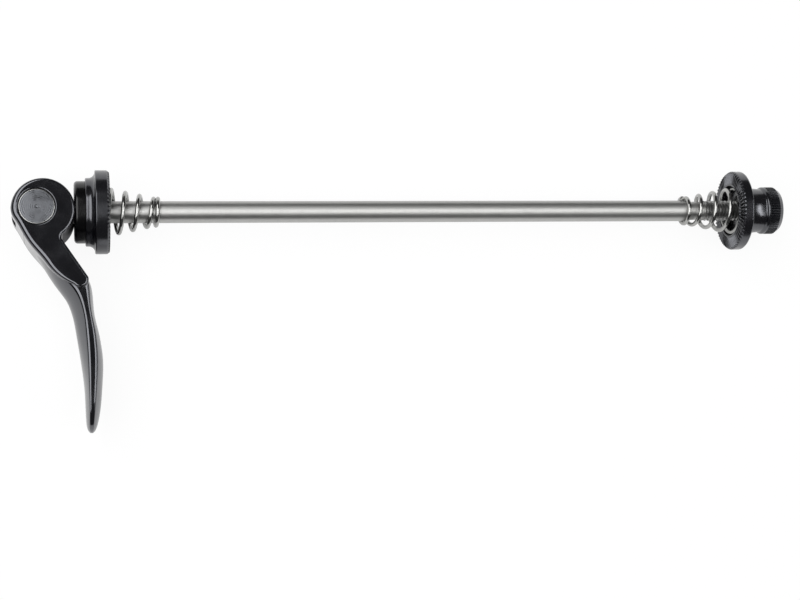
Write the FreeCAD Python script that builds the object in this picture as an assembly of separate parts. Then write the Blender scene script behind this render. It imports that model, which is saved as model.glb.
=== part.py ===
"""Quick-release wheel skewer: cam lever, rod, end cap, two conical springs and a knurled nut.

Millimetres. X runs along the rod from the lever to the nut, Z is the lever's pivot direction and up as the
skewer lies, and the lever points towards -Y. The origin is on the rod's axis in the lever side's clamp plane.
"""
import FreeCAD
import Part
import math
import os
from collections import namedtuple
from FreeCAD import Vector

# Rod and its M5 thread
rod_radius = 2.5
thread_relief = 0.08
thread_height = 0.32
thread_length = 18.2
run_out_depth = 0.3
run_out_length = 4.0
clamp_span = 149.0

# Running and seating clearances
run_clearance = 0.05
rod_clearance = 0.2
cam_gap = 0.1
seat_gap = 0.05

# Conical springs
wire_diameter = 1.0
spring_outer_radius = 5.8
lever_spring_length = 13.2
nut_spring_length = 14.3
spring_turns = 4.75
closed_turns = 0.8
wire_sides = 8
runs_per_turn = 14
recess_clearance = 0.25
recess_depth = 1.7

# Clamp faces: radial teeth round a smooth lip
tooth_count = 60
tooth_depth = 0.55
tooth_share = 0.8
tooth_band = 3.0
lip_width = 0.45
rim_bevel_long = 0.8
rim_bevel_high = 0.55
sweep_steps = 3

# Plastic saddle washer under the cam
shoe_thickness = 2.5
shoe_step = 0.7
shoe_chamfer = 0.5
saddle_depth = 0.3
spigot_wall = 2.3
spigot_length = 1.5

# End cap on the lever side
cap_flange = 3.2
cap_boss = 2.15
cap_wall = 2.7
cap_sweep_share = 0.83

# Nut
nut_flange = 2.8
neck_radius = 5.25
neck_length = 4.0
neck_fillet = 1.1
shoulder_length = 0.8
collar_length = 1.0
collar_rise = 0.45
knurl_count = 60
knurl_length = 2.4
knurl_depth = 0.26
nut_end_length = 1.1
nut_end_drop = 0.8
insert_length = 2.3
insert_inset = 0.4
insert_wall = 1.0
rod_end_inset = 0.9

# Lever head, a cam that sits off the barrel's axis
cam_wall = 3.0
cam_offset_x = 1.35
cam_offset_y = -0.6
head_width = 15.0
slot_clearance = 0.4
barrel_wall = 1.5
barrel_inset = 0.25
barrel_chamfer = 0.35
dimple_radius = 0.55
bore_chamfer = 0.4

# Lever arm and blade, in plan from the barrel's axis
arm_heading = -56.0
arm_side = 2.9
arm_length = 16.4
elbow_radius = 13.5
blade_heading = -78.0
blade_length = 29.9
blade_sweep = -15.0
cheek_inner = 3.25
cheek_outer = 2.6
cheek_chamfer = 0.6
heel_radius = 4.0
notch_radius = 1.0
tongue_length = 4.2
tongue_radius = 1.7
taper_length = 4.9
taper_radius = 13.5
blade_steps = 22
dome_sides = 8

# Sections of the arm and blade at a share of the way from the barrel to the tip. outer and inner are the
# reach from the middle line, crown_out and crown_in how much of that is domed, and width a share of the head's.
Section = namedtuple("Section", "at outer inner crown_out crown_in width")
lever_sections = [
    Section(0.020, 2.35, 2.8, 0.2, 0.2, 0.900),
    Section(0.090, 2.75, 2.8, 0.4, 0.2, 0.900),
    Section(0.190, 3.0, 2.9, 0.7, 0.2, 0.907),
    Section(0.295, 3.4, 3.3, 1.8, 0.3, 0.920),
    Section(0.365, 3.2, 3.9, 2.8, 0.6, 0.913),
    Section(0.425, 2.4, 3.3, 2.7, 0.9, 0.873),
    Section(0.500, 2.0, 2.8, 2.5, 0.8, 0.860),
    Section(0.580, 2.0, 3.1, 2.2, 1.0, 0.873),
    Section(0.690, 1.8, 3.2, 1.6, 1.4, 0.893),
    Section(0.810, 1.5, 2.5, 1.0, 1.4, 0.867),
    Section(0.905, 1.4, 1.9, 0.9, 1.3, 0.760),
    Section(0.965, 1.2, 1.3, 0.7, 0.9, 0.560),
    Section(0.990, 0.8, 0.8, 0.4, 0.5, 0.320),
    Section(1.000, 0.3, 0.3, 0.15, 0.15, 0.120),
]

# Radii and places along the rod, worked out from the sizes above
thread_radius = rod_radius - thread_relief
recess_radius = spring_outer_radius + recess_clearance
lip_radius = recess_radius + lip_width
flange_radius = lip_radius + tooth_band
bore_radius = rod_radius + rod_clearance
spigot_radius = bore_radius + spigot_wall
cap_boss_radius = spigot_radius + seat_gap + cap_wall
shoe_radius = cap_boss_radius - shoe_step
knurl_radius = neck_radius + collar_rise
nut_end_radius = knurl_radius - nut_end_drop
insert_radius = nut_end_radius - insert_wall
barrel_radius = rod_radius + barrel_wall
cam_radius = barrel_radius + cam_wall
cap_boss_x = -cap_flange - cap_boss
shoe_x = cap_boss_x - shoe_thickness
cam_contact_x = shoe_x + saddle_depth - cam_gap
barrel_x = cam_contact_x - cam_radius - cam_offset_x
rod_start_x = barrel_x - barrel_radius + rod_end_inset
nut_x = clamp_span
flange_x = nut_x + nut_flange
neck_end_x = flange_x + neck_length
collar_x = neck_end_x + shoulder_length
knurl_x = collar_x + collar_length
knurl_end_x = knurl_x + knurl_length
nut_end_x = knurl_end_x + nut_end_length
rod_end_x = nut_end_x - rod_end_inset
thread_x = rod_end_x - thread_length
shank_end_x = thread_x - run_out_length
axis_point = Vector(0, 0, 0)
along_x = Vector(1, 0, 0)
along_z = Vector(0, 0, 1)
barrel_point = Vector(barrel_x, 0, 0)
cam_point = Vector(barrel_x + cam_offset_x, cam_offset_y, 0)
tiny = 1e-6


def turned(*profile):
    """Solid turned about the rod's axis from a closed outline of (x, r) points."""
    corners = [Vector(x, r, 0) for x, r in profile]
    face = Part.Face(Part.makePolygon(corners + corners[:1]))
    return face.revolve(axis_point, along_x, 360)


def hollow_sweep(x, r, radius, towards):
    """Points of a hollow quarter round from a bar of radius r to a flange face at x towards -X or +X."""
    points = []
    for step in range(sweep_steps + 1):
        angle = math.pi / 2 * step / sweep_steps
        points.append((x + towards * radius * (1 - math.sin(angle)), r + radius * (1 - math.cos(angle))))
    return points


def round_bar(radius, x0, x1):
    """Plain cylinder on the rod's axis from x0 to x1."""
    return Part.makeCylinder(radius, x1 - x0, Vector(x0, 0, 0), along_x)


def copies_about_axis(tool, count):
    """The tool and its copies, evenly spaced about the rod's axis."""
    tools = []
    for index in range(count):
        tool_copy = tool.copy()
        tool_copy.rotate(axis_point, along_x, 360.0 * index / count)
        tools.append(tool_copy)
    return tools


def tooth_groove(face_x, inwards):
    """V-shaped groove that runs out from the lip to past the rim and deepens with the radius."""
    rings = []
    for radius in (lip_radius, flange_radius + tooth_depth):
        reach = 2 * tooth_share * math.pi * radius / tooth_count
        depth = inwards * tooth_depth * radius / flange_radius
        rings.append([
            Vector(face_x - depth, -reach, radius),
            Vector(face_x + depth, 0, radius),
            Vector(face_x - depth, reach, radius),
        ])
    inner, outer = rings
    walls = [inner, outer]
    for corner in range(3):
        following = (corner + 1) % 3
        walls.append([inner[corner], inner[following], outer[following], outer[corner]])
    faces = [Part.Face(Part.makePolygon(wall + wall[:1])) for wall in walls]
    return Part.makeSolid(Part.makeShell(faces))


def tooth_flats(x, radius):
    """Closed outline round the axis with one flat for each tooth and its corners in the grooves."""
    corners = []
    for corner in range(tooth_count):
        angle = 2 * math.pi * corner / tooth_count
        corners.append(Vector(x, radius * math.sin(angle), radius * math.cos(angle)))
    return Part.makePolygon(corners + corners[:1])


def toothed_rim(face_x, inwards):
    """Front of a flange: a ring bevelled by a flat on each tooth, with the grooves between them."""
    back_x = face_x + inwards * rim_bevel_long
    ring = Part.makeLoft([
        tooth_flats(back_x, flange_radius),
        tooth_flats(face_x, flange_radius - rim_bevel_high),
    ], True, True)
    recess = round_bar(recess_radius, min(face_x, back_x), max(face_x, back_x))
    return ring.cut([recess] + copies_about_axis(tooth_groove(face_x, inwards), tooth_count))


def make_rod():
    """Rod with a plain shank, a run-out neck and a threaded end."""
    neck = rod_radius - run_out_depth
    return turned(
        (rod_start_x, 0),
        (rod_start_x, neck),
        (rod_start_x + run_out_depth, rod_radius),
        (shank_end_x - run_out_depth, rod_radius),
        (shank_end_x, neck),
        (thread_x, neck),
        (thread_x + thread_height / 2, thread_radius),
        (rod_end_x - thread_height, thread_radius),
        (rod_end_x, thread_radius - thread_height),
        (rod_end_x, 0),
    )


def make_barrel():
    """Cross pin with chamfered ends, centre dimples and a blind cross hole that holds the rod."""
    length = head_width - 2 * barrel_inset
    pin = Part.makeCylinder(barrel_radius, length, barrel_point - along_z * length / 2, along_z)
    rims = [edge for edge in pin.Edges if len(edge.Vertexes) == 1]
    pin = pin.makeChamfer(barrel_chamfer, rims)
    dimples = []
    for side in (-1, 1):
        tip = barrel_point + along_z * side * (length / 2 - dimple_radius)
        dimples.append(Part.makeCone(0, dimple_radius, dimple_radius, tip, along_z * side))
    hole = round_bar(rod_radius + seat_gap, rod_start_x - seat_gap, barrel_x + barrel_radius)
    return pin.cut(dimples + [hole])


def make_shoe():
    """Saddle washer: a disc with a spigot in the end cap and a hollow that the cam lies in."""
    body = turned(
        (shoe_x, bore_radius),
        (shoe_x, shoe_radius - shoe_chamfer),
        (shoe_x + shoe_chamfer, shoe_radius),
        (cap_boss_x, shoe_radius),
        (cap_boss_x, spigot_radius),
        (cap_boss_x + spigot_length, spigot_radius),
        (cap_boss_x + spigot_length, bore_radius),
    )
    base = cam_point - along_z * head_width
    return body.cut(Part.makeCylinder(cam_radius + cam_gap, 2 * head_width, base, along_z))


def make_end_cap():
    """Flanged cap: a boss round the washer's spigot, a swept flange, a spring recess and clamp teeth."""
    pocket_radius = spigot_radius + seat_gap
    pocket_end = cap_boss_x + spigot_length + seat_gap
    overhang = flange_radius - cap_boss_radius
    sweep = cap_sweep_share * min(overhang, cap_boss)
    back_chamfer = (overhang - sweep) / 2
    body = turned(
        (cap_boss_x, pocket_radius),
        (cap_boss_x, cap_boss_radius),
        *hollow_sweep(-cap_flange, cap_boss_radius, sweep, -1),
        (-cap_flange, flange_radius - back_chamfer),
        (-cap_flange + back_chamfer, flange_radius),
        (-rim_bevel_long, flange_radius),
        (-rim_bevel_long, recess_radius),
        (-recess_depth, recess_radius),
        (-recess_depth, bore_radius),
        (pocket_end, bore_radius),
        (pocket_end, pocket_radius),
    )
    return body.fuse(toothed_rim(0, -1))


def spring_point(turn, seat_x, outwards, length):
    """Middle of the wire after so many turns from the wide closed end on its seat."""
    wide = spring_outer_radius - wire_diameter / 2
    narrow = rod_radius + run_clearance + wire_diameter / 2
    open_turns = spring_turns - 2 * closed_turns
    open_rise = length - wire_diameter * (1 + 2 * closed_turns)
    share = min(max((turn - closed_turns) / open_turns, 0.0), 1.0)
    closed = min(turn, closed_turns) + max(turn - spring_turns + closed_turns, 0.0)
    x = seat_x + outwards * (wire_diameter * (0.5 + closed) + open_rise * share)
    radius = wide + (narrow - wide) * share
    angle = -2 * math.pi * turn * outwards
    return Vector(x, radius * math.cos(angle), radius * math.sin(angle))


def make_spring(seat_x, outwards, length):
    """Left-hand conical spring that stands on a recess floor, its wire drawn as short straight runs."""
    runs = round(spring_turns * runs_per_turn)
    step = spring_turns / runs
    outlines = []
    for run in range(runs + 1):
        middle = spring_point(run * step, seat_x, outwards, length)
        before = spring_point((run - 0.5) * step, seat_x, outwards, length)
        after = spring_point((run + 0.5) * step, seat_x, outwards, length)
        outward = Vector(0, middle.y, middle.z).normalize()
        upright = (after - before).cross(outward).normalize()
        corners = []
        for side in range(wire_sides):
            angle = 2 * math.pi * side / wire_sides
            spoke = outward * math.cos(angle) + upright * math.sin(angle)
            corners.append(middle + spoke * (wire_diameter / 2))
        outlines.append(Part.makePolygon(corners + corners[:1]))
    return Part.makeLoft(outlines, True, True)


def knurl_outline(x, ridge_radius):
    """Closed zigzag round the axis whose ridges and valleys are the straight knurl in section."""
    corners = []
    for corner in range(2 * knurl_count):
        radius = ridge_radius - knurl_depth * (corner % 2)
        angle = math.pi * corner / knurl_count
        corners.append(Vector(x, radius * math.cos(angle), radius * math.sin(angle)))
    return Part.makePolygon(corners + corners[:1])


def make_nut():
    """Flanged nut: toothed clamp face with a spring recess, waisted neck, collar and straight knurl."""
    body = turned(
        (nut_x + recess_depth, 0),
        (nut_x + recess_depth, recess_radius),
        (nut_x + rim_bevel_long, recess_radius),
        (nut_x + rim_bevel_long, flange_radius),
        (flange_x - rim_bevel_high, flange_radius),
        (flange_x, flange_radius - rim_bevel_high),
        *reversed(hollow_sweep(flange_x, neck_radius, neck_fillet, 1)),
        (neck_end_x, neck_radius),
        (collar_x, knurl_radius),
        (knurl_x, knurl_radius),
        (knurl_x, 0),
    )
    knurl = Part.makeLoft([
        knurl_outline(knurl_x, knurl_radius),
        knurl_outline(knurl_end_x, knurl_radius),
        knurl_outline(nut_end_x, nut_end_radius),
    ], True, True)
    pocket_x = nut_end_x - insert_inset - insert_length - seat_gap
    bore = round_bar(thread_radius + run_clearance, nut_x, nut_end_x)
    pocket = round_bar(insert_radius + seat_gap, pocket_x, nut_end_x)
    return body.fuse([knurl, toothed_rim(nut_x, 1)]).cut([bore, pocket])


def make_lock_insert():
    """Ring pressed into the nut's outer end that grips the thread."""
    end_x = nut_end_x - insert_inset
    start_x = end_x - insert_length
    bore = round_bar(thread_radius + run_clearance, start_x, end_x)
    return round_bar(insert_radius, start_x, end_x).cut(bore)


def heading_vector(degrees):
    """Unit vector in plan at an angle from +X."""
    return Vector(math.cos(math.radians(degrees)), math.sin(math.radians(degrees)), 0)


def arc_step(point, heading, length, turn):
    """Point and heading after a length of path that turns evenly by the given degrees."""
    bend = math.radians(turn)
    chord = length * math.sin(bend / 2) / (bend / 2)
    return point + heading_vector(heading + turn / 2) * chord, heading + turn


def lever_line(share):
    """Point and heading of the lever's middle line: a straight arm, an elbow and a long swept blade."""
    elbow_turn = blade_heading - arm_heading
    elbow_length = elbow_radius * math.radians(abs(elbow_turn))
    travel = share * (arm_length + elbow_length + blade_length)
    start = barrel_point + heading_vector(arm_heading - 90) * arm_side
    on_arm = min(travel, arm_length)
    point = start + heading_vector(arm_heading) * on_arm
    heading = arm_heading
    on_elbow = min(travel - on_arm, elbow_length)
    if on_elbow > 0:
        point, heading = arc_step(point, heading, on_elbow, elbow_turn * on_elbow / elbow_length)
    on_blade = travel - on_arm - on_elbow
    if on_blade > tiny:
        point, heading = arc_step(point, heading, on_blade, blade_sweep * on_blade / blade_length)
    return point, heading


def lens_section(section):
    """Closed outline of one section: two domed faces, drawn as flats, that meet two narrow side bands."""
    middle, heading = lever_line(section.at)
    outwards = heading_vector(heading - 90)
    half = section.width * head_width / 2
    outer_side = []
    inner_side = []
    for side in range(dome_sides + 1):
        across = 2 * side / dome_sides - 1
        outer_reach = section.outer - section.crown_out * across ** 2
        inner_reach = section.inner - section.crown_in * across ** 2
        outer_side.append(middle + outwards * outer_reach + along_z * across * half)
        inner_side.append(middle - outwards * inner_reach - along_z * across * half)
    return Part.makePolygon(outer_side + inner_side + outer_side[:1])


def section_between(share):
    """Section at a share of the way to the tip, on smooth curves through the listed sections."""
    rows = lever_sections
    last = len(rows) - 1
    row = max(index for index in range(last) if rows[index].at <= share or index == 0)
    before, low = rows[max(row - 1, 0)], rows[row]
    high, after = rows[row + 1], rows[min(row + 2, last)]
    span = high.at - low.at
    t = (share - low.at) / span
    values = [share]
    for column in range(1, len(low)):
        slope_low = (high[column] - before[column]) / (high.at - before.at) * span
        slope_high = (after[column] - low[column]) / (after.at - low.at) * span
        rise = high[column] - low[column]
        bend = (slope_low - rise) * (1 - t) - (slope_high - rise) * t
        values.append(low[column] + rise * t + t * (1 - t) * bend)
    return Section(*values)


def make_blade():
    """Arm and blade lofted through sections that come closer together towards the tip."""
    first = lever_sections[0].at
    outlines = []
    for step in range(blade_steps + 1):
        share = math.sin(math.pi / 2 * step / blade_steps)
        outlines.append(lens_section(section_between(first + (1 - first) * share)))
    return Part.makeLoft(outlines, True, True)


def make_cheeks():
    """Cam head with flat cheeks that leave it over a round heel, taper on an arc and end in a tongue."""
    half = head_width / 2
    along = heading_vector(arm_heading)
    outwards = heading_vector(arm_heading - 90)
    base = barrel_point - along_z * half + outwards * arm_side
    cam = cam_point - along_z * half

    def spot(travel, reach):
        """Point of the lower cheek at a travel along the arm and a reach outwards."""
        return base + along * travel + outwards * reach

    def on_cam(reach, side):
        """Point where the cam's circle is at a reach outwards, ahead of its middle (1) or behind it (-1)."""
        offset = (spot(0, reach) - cam).dot(outwards)
        return cam + outwards * offset + along * side * math.sqrt(cam_radius ** 2 - offset ** 2)

    notch = on_cam(-cheek_inner, 1)
    heel = on_cam(cheek_outer, -1)
    back = cam - (along + outwards).normalize() * cam_radius
    taper_start = arm_length - taper_length
    tongue = arm_length + tongue_length
    turn = math.asin((tongue - tongue_radius - taper_start) / taper_radius)

    def taper(angle):
        """Point of the outer edge where it has turned inwards by the angle."""
        travel = taper_start + taper_radius * math.sin(angle)
        return spot(travel, cheek_outer - taper_radius * (1 - math.cos(angle)))

    tongue_in = spot(tongue - tongue_radius, -cheek_inner)
    tongue_out = taper(turn)
    crown = (tongue_in + tongue_out) / 2 + along * tongue_radius
    outline = Part.Wire([
        Part.Arc(notch, back, heel).toShape(),
        Part.makeLine(heel, taper(0)),
        Part.Arc(taper(0), taper(turn / 2), tongue_out).toShape(),
        Part.Arc(tongue_out, crown, tongue_in).toShape(),
        Part.makeLine(tongue_in, notch),
    ])
    cheeks = Part.Face(outline).extrude(along_z * head_width)
    for corner, radius in ((notch, notch_radius), (heel, heel_radius)):
        middle = corner + along_z * half
        upright = [edge for edge in cheeks.Edges if edge.CenterOfMass.isEqual(middle, tiny)]
        cheeks = cheeks.makeFillet(radius, upright)
    rims = [edge for edge in cheeks.Edges if abs(abs(edge.CenterOfMass.z) - half) < tiny]
    return cheeks.makeChamfer(cheek_chamfer, rims)


def make_lever():
    """Lever with its fork slot for the rod and the cross bore for the barrel."""
    half = head_width / 2
    slot_half = rod_radius + slot_clearance
    reach = 2 * cam_radius + barrel_radius
    slot = Part.makeBox(2 * reach, reach, 2 * slot_half, Vector(barrel_x - reach, -slot_half, -slot_half))
    pin_bore = barrel_radius + run_clearance
    cuts = [slot, Part.makeCylinder(pin_bore, head_width, barrel_point - along_z * half, along_z)]
    for side in (-1, 1):
        mouth = barrel_point + along_z * side * (half - bore_chamfer)
        cuts.append(Part.makeCone(pin_bore, pin_bore + bore_chamfer, bore_chamfer, mouth, along_z * side))
    return make_cheeks().fuse(make_blade()).cut(cuts)


def main():
    os.makedirs("parts", exist_ok=True)
    pieces = {
        "lever": make_lever(),
        "cam_barrel": make_barrel(),
        "skewer_rod": make_rod(),
        "cam_shoe": make_shoe(),
        "end_cap": make_end_cap(),
        "lever_spring": make_spring(seat_gap - recess_depth, 1, lever_spring_length),
        "nut_spring": make_spring(nut_x + recess_depth - seat_gap, -1, nut_spring_length),
        "adjusting_nut": make_nut(),
        "nut_lock_insert": make_lock_insert(),
    }
    for name, shape in pieces.items():
        print(name, len(shape.Solids), shape.isValid(), round(shape.Volume, 2), len(shape.Faces))
        shape.exportStep("parts/" + name + ".step")


main()
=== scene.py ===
"""Quick-release wheel skewer: its meshes, finishes, studio and camera.

Sizes are in millimetres in the CAD's frame. X runs along the rod towards the nut, Z along the lever's pivot
and up, the lever points towards -Y, and the origin is in the lever side's clamp plane. A finished mesh is in
metres.
"""

import logging
import math
from dataclasses import dataclass
from enum import Enum

import bmesh
import bpy
from bmesh.types import BMesh, BMVert
from bpy.types import Material, Mesh, Node, NodeSocket, NodeTree, Object
from mathutils import Matrix, Vector


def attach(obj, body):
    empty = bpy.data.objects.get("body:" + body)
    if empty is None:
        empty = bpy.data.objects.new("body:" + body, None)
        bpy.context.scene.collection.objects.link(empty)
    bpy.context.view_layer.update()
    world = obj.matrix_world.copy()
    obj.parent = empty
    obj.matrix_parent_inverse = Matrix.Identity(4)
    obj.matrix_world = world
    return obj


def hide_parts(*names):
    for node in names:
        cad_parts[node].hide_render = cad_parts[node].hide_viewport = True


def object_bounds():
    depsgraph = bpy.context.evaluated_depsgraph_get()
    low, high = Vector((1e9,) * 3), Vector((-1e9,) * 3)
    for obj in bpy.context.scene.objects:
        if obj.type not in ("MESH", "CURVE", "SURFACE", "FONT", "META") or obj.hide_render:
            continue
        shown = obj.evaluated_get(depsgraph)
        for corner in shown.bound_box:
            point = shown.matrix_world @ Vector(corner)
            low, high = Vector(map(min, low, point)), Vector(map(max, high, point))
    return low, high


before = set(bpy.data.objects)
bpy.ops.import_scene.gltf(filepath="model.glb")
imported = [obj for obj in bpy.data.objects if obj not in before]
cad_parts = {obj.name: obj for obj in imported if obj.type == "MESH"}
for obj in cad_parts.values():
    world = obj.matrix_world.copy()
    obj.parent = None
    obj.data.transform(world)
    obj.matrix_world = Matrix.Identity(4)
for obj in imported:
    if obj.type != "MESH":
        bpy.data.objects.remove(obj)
CAD_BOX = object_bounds()

LOG = logging.getLogger("skewer")
MM = 0.001
FULL_TURN = 2 * math.pi
NOISE_LOW = 0.3
NOISE_HIGH = 0.7
WHITE = "#ffffff"


class Body(Enum):
    """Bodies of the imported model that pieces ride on."""

    ROD = "rod"
    LEVER = "lever"
    CAP = "cap"
    NUT_SPRING = "nut_spring"
    NUT = "nut"


class Joining(Enum):
    """How one solid is joined with another."""

    UNION = "UNION"
    CUT = "DIFFERENCE"


class LampShape(Enum):
    """Outline of a soft light's face."""

    SQUARE_CUT = "RECTANGLE"
    OVAL = "ELLIPSE"


class Side(Enum):
    """Which end of the rod a part belongs to, as the direction its clamp face looks along X."""

    LEVER_END = 1
    NUT_END = -1


def linear(colour: str) -> tuple[float, float, float, float]:
    """Turn an sRGB hex colour into linear values.

    Args:
        colour: six hex digits after a hash.

    Returns:
        Red, green, blue and alpha.
    """
    values = [int(colour[place:place + 2], 16) / 255 for place in (1, 3, 5)]
    red, green, blue = [v / 12.92 if v <= 0.04045 else ((v + 0.055) / 1.055) ** 2.4 for v in values]
    return red, green, blue, 1.0


def add_node(tree: NodeTree, kind: str, inputs: dict | None = None, **settings: object) -> Node:
    """Add a node with its settings, values and links.

    Args:
        tree: the tree that gets the node.
        kind: Blender's name for the node's type.
        inputs: a value or a socket to link for each input, by name or number.
        settings: the node's own properties.

    Returns:
        The new node.
    """
    node = tree.nodes.new(kind)
    for name, value in settings.items():
        setattr(node, name, value)
    for name, value in (inputs or {}).items():
        if isinstance(value, NodeSocket):
            tree.links.new(value, node.inputs[name])
        else:
            node.inputs[name].default_value = value
    return node


def per_metre(size_mm: float) -> float:
    """Texture scale that gives a pattern of this size."""
    return 1 / (size_mm * MM)


@dataclass(frozen=True)
class Finish:
    """A surface finish: plain values for the shader and a pattern on Object coordinates.

    Attributes:
        name: the material's name.
        colour: sRGB hex colour.
        roughness: middle roughness of the surface.
        metallic: 1 for bare metal and 0 for a coating or plastic.
        grain_mm: size of the finest pattern that shows.
        grain_depth_mm: height of that pattern.
        ior: refractive index of a coating or plastic.
        spread: how far the roughness swings to each side of its middle.
    """

    name: str
    colour: str
    roughness: float
    metallic: float
    grain_mm: float
    grain_depth_mm: float
    ior: float = 1.5
    spread: float = 0.05

    def material(self) -> Material:
        """Build the material.

        Returns:
            The new material.
        """
        material = bpy.data.materials.new(self.name)
        material.use_nodes = True
        tree = material.node_tree
        shader = tree.nodes["Principled BSDF"]
        shader.inputs["Base Color"].default_value = linear(self.colour)
        shader.inputs["Roughness"].default_value = self.roughness
        shader.inputs["Metallic"].default_value = self.metallic
        shader.inputs["IOR"].default_value = self.ior
        place = add_node(tree, "ShaderNodeTexCoord").outputs["Object"]
        self.pattern(tree, shader, place)
        return material

    def pattern(self, tree: NodeTree, shader: Node, place: NodeSocket) -> None:
        """Draw the finish's pattern; each finish has its own."""
        raise NotImplementedError

    def raise_grain(self, tree: NodeTree, shader: Node, height: NodeSocket) -> None:
        """Give the surface relief from a height between 0 and 1.

        Args:
            tree: the material's tree.
            shader: the shader that gets the normal.
            height: the relief.
        """
        bump = add_node(tree, "ShaderNodeBump", {
            "Strength": 1.0, "Distance": self.grain_depth_mm * MM, "Height": height})
        tree.links.new(bump.outputs["Normal"], shader.inputs["Normal"])

    def vary_roughness(self, tree: NodeTree, shader: Node, source: NodeSocket) -> None:
        """Let the roughness swing about its middle value.

        Args:
            tree: the material's tree.
            shader: the shader that gets the roughness.
            source: what it follows, between 0 and 1.
        """
        mapped = add_node(tree, "ShaderNodeMapRange", {
            "Value": source, "From Min": NOISE_LOW, "From Max": NOISE_HIGH,
            "To Min": self.roughness - self.spread, "To Max": self.roughness + self.spread})
        tree.links.new(mapped.outputs["Result"], shader.inputs["Roughness"])


@dataclass(frozen=True)
class AnodisedBlack(Finish):
    """Aluminium, polished and anodised black.

    A clear hard skin over dark dye: a deep black where it mirrors the dark studio, a soft white sheen at a
    glancing look, and a fine speckle left by the polish and the dye.

    Attributes:
        smear_mm: size of the smears in the gloss.
        sheen: colour of what it mirrors.
        speck: colour of the paler specks in the dye.
    """

    spread: float = 0.04
    smear_mm: float = 5.0
    sheen: str = "#f2f4fc"
    speck: str = "#0e0e12"

    def pattern(self, tree: NodeTree, shader: Node, place: NodeSocket) -> None:
        """Fine speckle in the relief and wide smears in the gloss.

        Args:
            tree: the material's tree.
            shader: the shader that is dressed.
            place: the Object coordinates.
        """
        shader.inputs["Specular Tint"].default_value = linear(self.sheen)
        speckle = add_node(tree, "ShaderNodeTexNoise", {
            "Vector": place, "Scale": per_metre(self.grain_mm), "Detail": 3.0, "Roughness": 0.6})
        smear = add_node(tree, "ShaderNodeTexNoise", {
            "Vector": place, "Scale": per_metre(self.smear_mm), "Detail": 2.0})
        self.vary_roughness(tree, shader, smear.outputs["Fac"])
        self.raise_grain(tree, shader, speckle.outputs["Fac"])
        tint = add_node(tree, "ShaderNodeMix", {
            "Factor": speckle.outputs["Fac"], 6: linear(self.colour), 7: linear(self.speck)},
            data_type="RGBA")
        tree.links.new(tint.outputs[2], shader.inputs["Base Color"])


@dataclass(frozen=True)
class CamBlack(AnodisedBlack):
    """The lever's black, with a painted shade on the track where the cam runs on its washer.

    The track is painted a dull dark grey-brown that mirrors nothing, a painted shade that keeps the hollow
    beside the head dark.

    Attributes:
        cam_place_mm: the cam's middle in plan.
        cam_radius_mm: radius of the track.
        track_half_mm: half the track's width.
        slack_mm: how far from that radius the track still shows.
        hollow_shade_colour: painted shade on the cam's wall, a dull dark grey-brown.
        track_roughness: roughness of the track.
    """

    cam_place_mm: tuple[float, float] = (-14.65, -0.6)
    cam_radius_mm: float = 7.0
    track_half_mm: float = 6.9
    slack_mm: float = 0.03
    hollow_shade_colour: str = "#1f1d1b"
    track_roughness: float = 0.6

    def pattern(self, tree: NodeTree, shader: Node, place: NodeSocket) -> None:
        """The black's own pattern away from the track, and a plain painted shade on it.

        Args:
            tree: the material's tree.
            shader: the shader that is dressed.
            place: the Object coordinates.
        """
        super().pattern(tree, shader, place)
        x, y = self.cam_place_mm
        centred = add_node(tree, "ShaderNodeMapping", {"Vector": place, "Location": (-x * MM, -y * MM, 0.0)})
        flat = add_node(tree, "ShaderNodeVectorMath", {
            0: centred.outputs["Vector"], 1: (1.0, 1.0, 0.0)}, operation="MULTIPLY")
        reach = add_node(tree, "ShaderNodeVectorMath", {0: flat.outputs["Vector"]}, operation="LENGTH")
        near = add_node(tree, "ShaderNodeMath", {
            0: reach.outputs["Value"], 1: self.cam_radius_mm * MM, 2: self.slack_mm * MM},
            operation="COMPARE")
        height = add_node(tree, "ShaderNodeSeparateXYZ", {"Vector": place})
        height = add_node(tree, "ShaderNodeMath", {0: height.outputs["Z"]}, operation="ABSOLUTE")
        wall = add_node(tree, "ShaderNodeMath", {
            0: height.outputs["Value"], 1: self.track_half_mm * MM}, operation="LESS_THAN")
        track = add_node(tree, "ShaderNodeMath", {
            0: near.outputs["Value"], 1: wall.outputs["Value"]}, operation="MULTIPLY")
        # painted shade: the cam's wall in the hollow beside the head gets a dull dark grey-brown in place of
        # the black
        for socket, kind, value in (("Base Color", "RGBA", linear(self.hollow_shade_colour)),
                                    ("Roughness", "FLOAT", self.track_roughness)):
            first, second, result = (6, 7, 2) if kind == "RGBA" else (2, 3, 0)
            mixed = add_node(tree, "ShaderNodeMix", {
                0: track.outputs["Value"], first: shader.inputs[socket].links[0].from_socket, second: value},
                data_type=kind)
            tree.links.new(mixed.outputs[result], shader.inputs[socket])


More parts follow.
